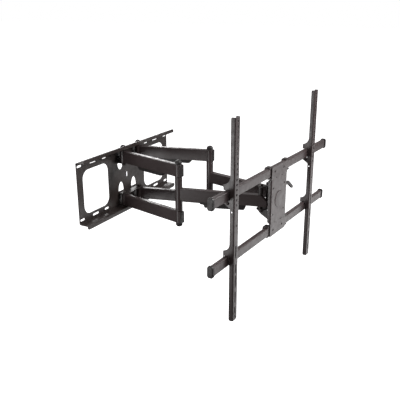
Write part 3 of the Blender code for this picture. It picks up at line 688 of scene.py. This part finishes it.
def yoke_top_outline():
    """The upper shelf: an ear over each pivot, a tongue behind the kingpin, and a bay between them."""
    half = PIVOT_X + 10.0
    right = [(34.0, -12.0), (half, 6.0), (half, 21.0), (52.0, 26.0), (42.0, 26.0), (37.0, 21.0)]
    right += [(37.0, 7.0), (31.0, 1.0), (13.0, 1.0), (10.0, 4.0), (10.0, 14.0)]
    left = [(-x, y) for x, y in reversed(right)]
    return filleted(right + left, 1.8, 5)


def yoke(seat):
    """Two shelves, a web behind the kingpin, and a skirt under each side of the lower shelf."""
    holes = [circle(BOLT_HOLE, (side * PIVOT_X, YOKE_DROP)) for _, side in SIDES]
    holes.append(circle(KINGPIN_HOLE))
    top = prism(yoke_top_outline(), YOKE_TOP - YOKE_SHEET, YOKE_TOP, holes=holes)
    bottom = prism(yoke_outline(), YOKE_BOTTOM, YOKE_BOTTOM + YOKE_SHEET, holes=holes)
    web = prism(box(-9.0, 9.0, HUB_RADIUS + 0.6, 13.6), YOKE_BOTTOM + 0.5, YOKE_TOP - 0.5)
    foot = YOKE_BOTTOM + YOKE_SHEET - 0.2
    weld = prism([(13.2, foot), (13.2, foot + 3.4), (16.6, foot)], -8.5, 8.5, "X")
    skirt = [(-3.0, YOKE_BOTTOM + 1.0), (25.0, YOKE_BOTTOM + 1.0), (25.0, -42.0), (14.0, -51.0)]
    skirt += [(-8.0, -64.0), (-12.0, -64.0), (-12.0, -42.0)]
    skirt = filleted(skirt, [0, 0, 6, 4, 3, 1, 4], 6)
    skirts = [prism(skirt, *span(side, 38.0, 41.0), "X") for _, side in SIDES]
    wells = [circle(9.0, (side * PIVOT_X, YOKE_DROP)) for _, side in SIDES]
    cuts = [prism(well, YOKE_BOTTOM - 12, YOKE_BOTTOM) for well in wells]
    piece("yoke", [top, web, bottom, weld, *skirts], "dark_coat", seat, cuts)


def yoke_pivot(side_name, side, seat):
    """A yoke pivot bolt with its nut and washers, and the sleeve that fills the space above the arm."""
    place = (side * PIVOT_X, YOKE_DROP)
    head = YOKE_TOP + GAP
    nut = YOKE_BOTTOM - GAP
    washer = YOKE_BOTTOM + YOKE_SHEET + GAP
    shapes = [disc(BOLT_RADIUS, nut - 6.0, head + 2, place=place)]
    shapes.append(hexagon(13.0, nut - 5.4, nut, place=place))
    shapes.append(disc(8.0, washer, -FRONT_ARM - GAP, place=place, count=40))
    shapes.append(hexagon(13.6, head, head + 5, place=place))
    piece(f"yoke_pivot_bolt_{side_name}", shapes, "bolt_steel", seat)
    low, high = FRONT_ARM + GAP, YOKE_TOP - YOKE_SHEET - GAP
    tube = prism(circle(7.5, place, 40), low, high, holes=[circle(BOLT_HOLE, place, 32)])
    piece(f"yoke_pivot_sleeve_{side_name}", [tube], "dark_coat", seat)


def kingpin(seat):
    head = YOKE_TOP + GAP
    nut = YOKE_BOTTOM - GAP
    shapes = [disc(6.0, nut - 7.0, head + 2), hexagon(16.0, nut - 6.2, nut)]
    shapes += [disc(10.0, head, head + 1.6, count=40), hexagon(16.5, head + 1.4, head + 6)]
    piece("kingpin", shapes, "bolt_steel", seat)


def swivel_bracket(seat):
    """The hub on the kingpin and the block in front of it, which holds the tilt and clamp bolts."""
    low = YOKE_BOTTOM + YOKE_SHEET + GAP
    high = YOKE_TOP - YOKE_SHEET - GAP
    hub = disc(HUB_RADIUS, low, high, count=44)
    face = -22.5
    block = prism(box(face, -8.0, low + 0.2, 38.0), -CHEEK_X + 0.4, CHEEK_X - 0.4, "X")
    rounded(block, lambda m, d: abs(m.y - face) < SAME, 1.2, 3)
    cuts = [prism(circle(KINGPIN_HOLE), low - 1, high + 1)]
    for height in (TILT_Z, CLAMP_Z):
        cuts.append(prism(circle(CROSS_HOLE, (TILT_Y, height)), -30.0, 30.0, "X"))
    piece("swivel_bracket", [hub, block], "dark_coat", seat, cuts)


def cross_bolt(name, height, low, high, seat):
    """A bolt along X with a hexagonal head at one end of its grip and a nut at the other."""
    place = (TILT_Y, height)
    shapes = [disc(4.0, low - 1, high + 1, "X", place), hexagon(8.2, low - 3, low, "X", place)]
    shapes.append(hexagon(8.2, high, high + 3, "X", place))
    piece(name, shapes, "bolt_steel", seat)


def clamp_lever(seat):
    """The lock lever: a ribbed round hub with a bent handle that thins towards its tip."""
    profile = [(0, 59.0), (6.1, 59.0), (6.5, 59.4), (6.5, 62.8), (7.4, 62.8)]
    profile += [(8, 63.4), (8, 70.6), (7.0, 72.6), (5.0, 73.8), (0, 74.0)]
    hub = turned(profile, "X", count=40)
    outline = [(62.0, -4.0), (96.0, -3.0), (134.0, -28.0), (140.0, -28.0)]
    outline += [(142.0, -22.0), (138.0, -18.0), (104.0, 7.0), (62.0, 5.0)]
    half = 3.5
    bar = prism(filleted(outline, [0, 8, 2, 2, 2, 2, 8, 0], 6), -half, half, "Y")
    rounded(bar, lambda m, d: abs(abs(m.y) - half) < SAME and m.x > 63.0, 1.6, 4)
    grooves = []
    for i in range(GRIP_GROOVES):
        turn = 2 * math.pi * i / GRIP_GROOVES
        groove = circle(0.7, (8.3 * math.cos(turn), 8.3 * math.sin(turn)), 10)
        grooves.append(prism(groove, 62.0, 69.0, "X"))
    piece("clamp_lever", [hub, bar], "black_plastic", seat, grooves, 0.12)


def centre_plate(seat):
    """The front plate with folded sides, a round boss pressed out of its middle, and its holes."""
    back = CENTRE_FRONT + SHEET
    left, right = CENTRE_LEFT, CENTRE_RIGHT
    middle = [(left, CENTRE_SIDE), (left, CENTRE_FRONT), (right, CENTRE_FRONT), (right, CENTRE_SIDE)]
    middle += [(right - SHEET, CENTRE_SIDE), (right - SHEET, back)]
    middle += [(left + SHEET, back), (left + SHEET, CENTRE_SIDE)]
    channel = prism(filleted(middle, [0, BEND, BEND, 0, 0, INNER_BEND, INNER_BEND, 0]), -74.0, 74.0)
    shapes = [channel]
    for level, edge in ((1, 117.0), (-1, -119.0)):
        end = [(left, level * 74.6), (right, level * 74.6), (right, edge), (left, edge)]
        shapes.append(prism(filleted(end, [1, 1, 4, 4]), CENTRE_FRONT, back, "Y"))
        bridge = box(left + 5.0, right - 5.0, *span(level, 70.0, 80.0))
        shapes.append(prism(bridge, CENTRE_FRONT, back, "Y"))
    rise = CENTRE_FRONT - 1.5
    boss = [(0, rise), (25.6, rise), (26.8, rise + 0.2), (28.0, rise + 0.9), (28.8, rise + 1.4)]
    boss += [(29.8, back - 0.8), (0, back - 0.8)]
    shapes.append(turned(boss, "Y", count=72))
    cuts = []
    for _, side in SIDES:
        for radius, x, z in CENTRE_HOLES:
            holes = [circle(radius, (side * x, level * z), 24) for level in (-1, 1)]
            cuts += [prism(hole, CENTRE_FRONT - 1, back + 1, "Y") for hole in holes]
        for _, level in LEVELS:
            taper = [(CENTRE_FRONT + 2.0, 75.0), (CENTRE_SIDE + 1, 67.0), (CENTRE_SIDE + 1, 75.0)]
            taper = [(y, level * z) for y, z in taper]
            cuts.append(prism(taper, *span(side, 50.0, 64.0), "X"))
    notch = filleted(box(CENTRE_FRONT + 3.0, CENTRE_SIDE + 2.0, CLAMP_Z - 12.0, CLAMP_Z + 12.0), 1.5, 4)
    cuts.append(prism(notch, 55.0, 65.0, "X"))
    piece("centre_plate", shapes, "powder_coat", seat, cuts)


def tilt_cheek(side_name, side, seat):
    """A folded cheek behind the centre plate, with the tilt hole and the clamp bolt's curved slot."""
    back = CENTRE_FRONT + SHEET + GAP
    bottom = YOKE_BOTTOM + YOKE_SHEET + 0.8
    outline = [(back + 2.0, bottom), (-9.8, bottom), (-9.8, -16.0), (-14.5, -12.0)]
    outline += [(-14.5, 12.0), (4.0, 18.0), (4.0, CHEEK_TOP), (back + 2.0, CHEEK_TOP)]
    outline = filleted(outline, [0, 5, 2, 2, 3, 4, 4, 0], 6)
    reach = CLAMP_Z - TILT_Z
    groove = arc((TILT_Y, TILT_Z), reach + 4.6, 72.5, 98.5, 12)
    groove += arc((TILT_Y, TILT_Z), reach - 4.6, 98.5, 72.5, 12)
    outer = CHEEK_X + SHEET
    holes = [circle(CROSS_HOLE, (TILT_Y, TILT_Z)), groove]
    cheek = prism(outline, *span(side, CHEEK_X, outer), "X", holes)
    fold = [(CHEEK_X, -21.0), (CHEEK_X, back), (38.0, back)]
    fold += [(38.0, back + SHEET), (outer, back + SHEET), (outer, -21.0)]
    fold = [(side * x, y) for x, y in fold]
    foot = prism(filleted(fold, [0, BEND, 0, 0, INNER_BEND, 0]), bottom, CHEEK_TOP)
    cut = prism(groove, *span(side, CHEEK_X - 1, outer + 1), "X")
    piece(f"tilt_cheek_{side_name}", [cheek, foot], "dark_coat", seat, [cut])


def rail(level_name, level, seat):
    """A rectangular tube with a flared plastic cap on each end."""
    centre_z = level * RAIL_Z

    def section(inset, radius, count):
        deep, tall = RAIL_DEEP / 2 - inset, RAIL_TALL / 2 - inset
        return placed(filleted(box(-deep, deep, -tall, tall), radius, count))

    def placed(outline):
        return [(RAIL_Y + y, centre_z + z) for y, z in outline]

    tube = prism(section(0.0, 3.5, 8), -RAIL_HALF, RAIL_HALF, "X", [section(RAIL_WALL, 1.7, 5)])
    openings = [circle(3.4, (side * 34.0, centre_z), 24) for _, side in SIDES]
    holes = [prism(opening, RAIL_Y - 9.0, RAIL_Y - 4.0, "Y") for opening in openings]
    piece(f"rail_{level_name}", [tube], "powder_coat", seat, holes)
    flare = [(-10.0, -13.0), (-6.0, -18.0), (6.0, -18.0), (10.0, -13.0)]
    flare += [(10.0, 13.0), (6.0, 18.0), (-6.0, 18.0), (-10.0, 13.0)]
    flare = placed(filleted(flare, 2.0, 5))
    plug = section(2.2, 1.5, 5)
    for side_name, side in SIDES:
        cap = prism(flare, *span(side, RAIL_HALF + GAP, CAP_END), "X")
        rounded(cap, lambda m, d: abs(abs(m.x) - CAP_END) < SAME and abs(d.x) < 0.1, 2.4, 5)
        inside = prism(plug, *span(side, RAIL_HALF - 14.0, RAIL_HALF + 4.0), "X")
        piece(f"rail_cap_{level_name}_{side_name}", [cap, inside], "black_plastic", seat, bevel=0.2)


def rail_clamp(level_name, level, side_name, seat):
    """The saddle that wraps a rail from behind, with a shallow recess down its back."""
    front = CENTRE_FRONT + SHEET + GAP
    pocket = RAIL_Y + RAIL_DEEP / 2 + GAP
    half = RAIL_TALL / 2 + GAP
    outline = [(front, 17.5), (front, half), (pocket, half), (pocket, -half), (front, -half)]
    outline += [(front, -20.0), (-8.0, -20.0), (-6.0, -14.0), (-6.0, 14.0), (-8.0, 19.0), (-21.0, 19.0)]
    outline = filleted(outline, [1, 0, 0, 0, 0, 0, 2, 3, 3, 2, 3], 6)
    outline = [(y, level * (RAIL_Z + z)) for y, z in outline]
    low, high = CLAMPS[side_name]
    saddle = prism(outline, low, high, "X")
    middle = (low + high) / 2
    groove = box(-7.0, -4.0, *span(level, RAIL_Z - 11.0, RAIL_Z + 11.0))
    ribs = [prism(groove, middle - 5.0, middle + 5.0, "X")]
    piece(f"rail_clamp_{level_name}_{side_name}", [saddle], "dark_coat", seat, ribs, 0.5)


# The television brackets, in the head's frame, with x measured from each bracket's left edge


def bracket_side(front):
    """The side flange, with a hook over the upper rail and a seat on the lower one."""
    rail_front = RAIL_Y - RAIL_DEEP / 2 - 0.7
    tail = RAIL_Y + RAIL_DEEP / 2 + 0.7
    low_top = -RAIL_Z + RAIL_TALL / 2 + 0.5
    high_low = RAIL_Z - RAIL_TALL / 2 - 0.5
    high_top = RAIL_Z + RAIL_TALL / 2 + 0.5
    points = [(front, BRACKET_BOTTOM), (BRACKET_BACK, BRACKET_BOTTOM), (BRACKET_BACK, low_top)]
    points += [(tail, low_top), (tail, -94.0), (-7.5, -94.0), (-7.5, -74.0)]
    points += arc((-5.0, -45.0), 23.5, -98, -180, 16)
    points += [(BRACKET_BACK, 61.0), (-27.0, 64.0), (-8.5, 76.0), (-8.5, high_low)]
    points += [(rail_front, high_low), (rail_front, high_top), (-7.0, high_top), (-7.0, 131.0)]
    points += arc((-3.0, 157.0), 25.5, -100, -175, 16)
    points += [(BRACKET_BACK, 161.0), (BRACKET_BACK, BRACKET_TOP), (front, BRACKET_TOP)]
    return points


def channel_section(inset, sheet=BRACKET_SHEET):
    """The folded channel of a bracket: a side flange, the front, and a return almost as deep."""
    near = BRACKET_FRONT + inset
    far = BRACKET_WIDTH - inset
    edge = BRACKET_FRONT + BRACKET_RETURN
    points = [(inset, near), (far, near), (far, edge), (far - sheet, edge), (far - sheet, near + sheet)]
    points += [(inset + sheet, near + sheet), (inset + sheet, BRACKET_BACK)]
    points.append((inset, BRACKET_BACK))
    return filleted(points, [BRACKET_BEND, BRACKET_BEND, 0, 0, 0.6, 0.6, 0, 0])


def upright_slots(centres):
    return [slot((HOLE_LINE, z), length, 5.6, upright=True) for z, length in centres]


def television_bracket(side_name, seat):
    """The main channel with its hooks, its row of holes and one slot."""
    near = BRACKET_FRONT
    body = prism(channel_section(0.0), BRACKET_BOTTOM, BRACKET_TOP)
    hooks = prism(bracket_side(near + 6.0), 0.0, BRACKET_SHEET, "X")
    cuts = [prism(circle(2.4, place, 20), -1.0, 3.0, "X") for place in (SCREW, (-34.0, 53.0))]
    holes = [circle(3.7, (HOLE_LINE, 312.0 - HOLE_PITCH * i), 20) for i in range(HOLE_COUNT)]
    holes.append(circle(3.3, (HOLE_LINE, 10.0), 20))
    holes += upright_slots(SHARED_SLOTS)
    cuts += [prism(hole, near - 1, near + BRACKET_SHEET + 1, "Y") for hole in holes]
    ear = arc((BRACKET_BACK - 4.0, BRACKET_TOP - 4.0), 4.0, 0, 90, 8)
    ear.append((BRACKET_BACK + 1, BRACKET_TOP + 1))
    cuts.append(prism(ear, -1.0, BRACKET_SHEET + 1.0, "X"))
    piece(f"{side_name}_tv_bracket", [body, hooks], "powder_coat", seat, cuts, 0.25)


def bracket_extension(side_name, seat):
    """The lower channel with its slots, and the tongue that carries it inside the main channel."""
    inset = BRACKET_SHEET + GAP
    near = BRACKET_FRONT + inset
    low = EXTENSION_BOTTOM
    slots = upright_slots(SHARED_SLOTS + EXTENSION_SLOTS)
    slots.append(circle(2.6, (HOLE_LINE, -280.0), 20))
    cuts = [prism(opening, BRACKET_FRONT - 1, near + BRACKET_SHEET + 1, "Y") for opening in slots]
    far = BRACKET_WIDTH
    foot = arc((far - 5.0, low + 5.0), 5.0, 0, -90, 10) + [(far + 1, low - 1)]
    cuts.append(prism(foot, BRACKET_FRONT - 1, BRACKET_FRONT + BRACKET_RETURN + 1, "Y"))
    for z, turn, edge in ((low + 5.0, -90, low - 1), (EXTENSION_TOP - 3.0, 90, EXTENSION_TOP + 1)):
        radius = abs(edge - z) - 1.0
        heel = arc((BRACKET_BACK - radius, z), radius, 0, turn, 8) + [(BRACKET_BACK + 1, edge)]
        cuts.append(prism(heel, -1.0, inset + BRACKET_SHEET + 1, "X"))
    shoulder = BRACKET_BOTTOM - GAP
    channel = prism(channel_section(0.0), low, shoulder)
    tongue = prism(channel_section(inset), shoulder - 2.5, EXTENSION_TOP)
    step = prism(channel_section(0.7, 3.0), shoulder - 2.7, shoulder - 0.3)
    shapes = [channel, step, tongue]
    piece(f"{side_name}_bracket_extension", shapes, "powder_coat", seat, cuts, 0.25)


def safety_screw(side_name, seat):
    profile = [(0, -3.5), (2.6, -3.5), (3.8, -2.9), (4.4, -1.8), (4.4, -GAP), (0, -GAP)]
    head = turned(profile, "X", SCREW, 28)
    shank = disc(2.0, -1.0, 9.0, "X", SCREW, 20)
    socket = hexagon(3.0, -4.5, -1.6, "X", SCREW)
    piece(f"{side_name}_safety_screw", [head, shank], "bolt_steel", seat, [socket], 0.1)


# Places, from the record's joints

joints = {joint["name"]: joint for joint in frame["joints"]}
places = {name: Vector(joint["pos_m"]) for name, joint in joints.items() if "pos_m" in joint}
PIVOT_X = abs(places["right_arm_swing"].x) / MM
PIVOT_Y = places["right_arm_swing"].y / MM
ARM_LENGTH = (places["right_elbow_fold"] - places["right_arm_swing"]).length / MM
wall = seat_at(frame["record"]["mounts"][0]["pos_m"])
wall_plate(wall)
for level_name, level in LEVELS:
    hinge_shelf(level_name, level, wall)
    for side_name, side in SIDES:
        pivot = places[f"{side_name}_arm_swing"]
        elbow = places[f"{side_name}_elbow_fold"]
        wall_pivot(side_name, level_name, level, seat_at(pivot))
        low, high = span(level, *REAR_ARM)
        rear_arm(f"{side_name}_rear_arm_{level_name}", low, high, seat_at(pivot, elbow - pivot))
kingpin_place = places["head_swivel"]
yoke_seat = seat_at(kingpin_place)
for side_name, side in SIDES:
    elbow = places[f"{side_name}_elbow_fold"]
    tip = yoke_seat @ Vector((side * PIVOT_X * MM, YOKE_DROP * MM, 0.0))
    elbow_pin(side_name, seat_at(elbow))
    pivot = places[f"{side_name}_arm_swing"]
    rear_cable_clip(side_name, seat_at(pivot, elbow - pivot))
    front_arm(side_name, seat_at(elbow, tip - elbow))
    yoke_pivot(side_name, side, yoke_seat)
yoke(yoke_seat)
kingpin(yoke_seat)
head_along = Vector(joints["head_tilt"]["axis"])
if head_along.x < 0:
    head_along = -head_along
head = seat_at(kingpin_place, head_along)
lever_seat = head @ Matrix.Translation(Vector((0.0, TILT_Y, CLAMP_Z)) * MM)
swivel_bracket(head)
grip = CHEEK_X + SHEET + GAP
cross_bolt("tilt_bolt", TILT_Z, -grip, grip, head)
cross_bolt("clamp_bolt", CLAMP_Z, -grip, 55.0, head)
clamp_lever(lever_seat)
centre_plate(head)
for side_name, side in SIDES:
    tilt_cheek(side_name, side, head)
for level_name, level in LEVELS:
    rail(level_name, level, head)
    for side_name in CLAMPS:
        rail_clamp(level_name, level, side_name, head)
for side_name, _ in SIDES:
    corners = frame["nodes"][f"{side_name}_tv_bracket"].data.vertices
    edge = min((head.inverted() @ v.co).x for v in corners) / MM
    bracket_seat = head @ Matrix.Translation(Vector((edge, 0.0, 0.0)) * MM)
    for draw in (television_bracket, bracket_extension, safety_screw):
        draw(side_name, bracket_seat)


# Floor, light and camera

FLOOR_Z = -1.4
CAMERA_PLACE = (-1.753, -1.274, 0.627)
CAMERA_ANGLES = (61.3, 18.8, -0.2)
LENS = 53.595
STUDIO_WALLS = ((0.0, tone(0.07, 0.065, 0.065)), (0.45, tone(0.10, 0.095, 0.095)),
                (0.6, tone(0.22, 0.21, 0.21)), (1.0, tone(0.9, 0.9, 0.9)))
LAMPS = (
    ("key", (0.25, -1.35, 0.75), (0.0, -0.6, 0.05), 0.7, 16.0),
    ("front_right", (1.15, -1.35, -0.7), (-0.1, -0.55, -0.05), 1.2, 6.0),
    ("side", (-1.8, 0.35, -0.35), (0.0, -0.35, -0.05), 0.8, 11.0),
    ("back_right", (1.3, 0.8, 0.52), (0.0, -0.2, 0.0), 0.5, 5.0),
    ("back", (-0.4, 2.6, 1.3), (0.0, 0.0, 0.0), 1.4, 26.0),
)


def area_light(name, place, target, size, power):
    """A round lamp aimed from its place at the target, unseen by the camera."""
    data = bpy.data.lights.new(name, "AREA")
    data.shape = "DISK"
    data.size = size
    data.energy = power
    lamp = bpy.data.objects.new(name, data)
    lamp.location = place
    lamp.rotation_euler = (Vector(target) - Vector(place)).to_track_quat("-Z", "Y").to_euler()
    lamp.visible_camera = False
    bpy.context.collection.objects.link(lamp)


def floor():
    """A wide pale floor that the camera sees, and that throws no light on the object."""
    data = bpy.data.meshes.new("floor")
    shape = bmesh.new()
    bmesh.ops.create_grid(shape, x_segments=4, y_segments=4, size=40.0)
    bmesh.ops.translate(shape, verts=shape.verts, vec=(0.0, 0.0, FLOOR_Z))
    shape.to_mesh(data)
    shape.free()
    made = bpy.data.objects.new("floor", data)
    made.visible_diffuse = False
    made.visible_glossy = False
    bpy.context.collection.objects.link(made)
    paint, nodes, links, shader, place = shader_nodes("pale_floor")
    drift = noise(nodes, links, place, 1.5, 2.0)
    shades = ((0.3, tone(0.96, 0.96, 0.96)), (0.7, tone(1.0, 1.0, 1.0)))
    links.new(ramp(nodes, links, drift, shades), shader.inputs["Base Color"])
    shader.inputs["Roughness"].default_value = 0.9
    shader.inputs["Emission Color"].default_value = (1.0, 1.0, 1.0, 1.0)
    shader.inputs["Emission Strength"].default_value = 0.85
    data.materials.append(paint)


def camera():
    """The camera that was solved from the photograph: its heading, its dip and its roll, in degrees."""
    yaw, pitch, roll = (math.radians(angle) for angle in CAMERA_ANGLES)
    level = math.cos(pitch)
    ahead = Vector((math.sin(yaw) * level, math.cos(yaw) * level, -math.sin(pitch)))
    right = Vector((math.cos(yaw), -math.sin(yaw), 0.0))
    up = right.cross(ahead)
    across = right * math.cos(roll) + up * math.sin(roll)
    rise = up * math.cos(roll) - right * math.sin(roll)
    data = bpy.data.cameras.new("camera")
    data.sensor_width = 36.0
    data.lens = LENS
    data.clip_end = 200.0
    made = bpy.data.objects.new("camera", data)
    turn = Matrix((across, rise, -ahead)).transposed().to_4x4()
    made.matrix_world = Matrix.Translation(Vector(CAMERA_PLACE)) @ turn
    bpy.context.collection.objects.link(made)
    bpy.context.scene.camera = made


def world():
    """Studio walls: bright overhead and dim below as the object sees them, pale to the camera."""
    made = bpy.data.worlds.new("world")
    made.use_nodes = True
    nodes = made.node_tree.nodes
    links = made.node_tree.links
    around = nodes.new("ShaderNodeTexCoord")
    parts = nodes.new("ShaderNodeSeparateXYZ")
    links.new(around.outputs["Generated"], parts.inputs["Vector"])
    height = nodes.new("ShaderNodeMapRange")
    height.inputs["From Min"].default_value = -1.0
    links.new(parts.outputs["Z"], height.inputs["Value"])
    walls = ramp(nodes, links, height.outputs["Result"], STUDIO_WALLS)
    path = nodes.new("ShaderNodeLightPath")
    seen = nodes.new("ShaderNodeMix")
    seen.data_type = "RGBA"
    seen.inputs["B"].default_value = tone(1.0, 1.0, 1.0)
    links.new(path.outputs["Is Camera Ray"], seen.inputs["Factor"])
    links.new(walls, seen.inputs["A"])
    links.new(seen.outputs["Result"], nodes["Background"].inputs["Color"])
    bpy.context.scene.world = made


bpy.context.scene.view_settings.view_transform = "Standard"
floor()
world()
camera()
for lamp in LAMPS:
    area_light(*lamp)
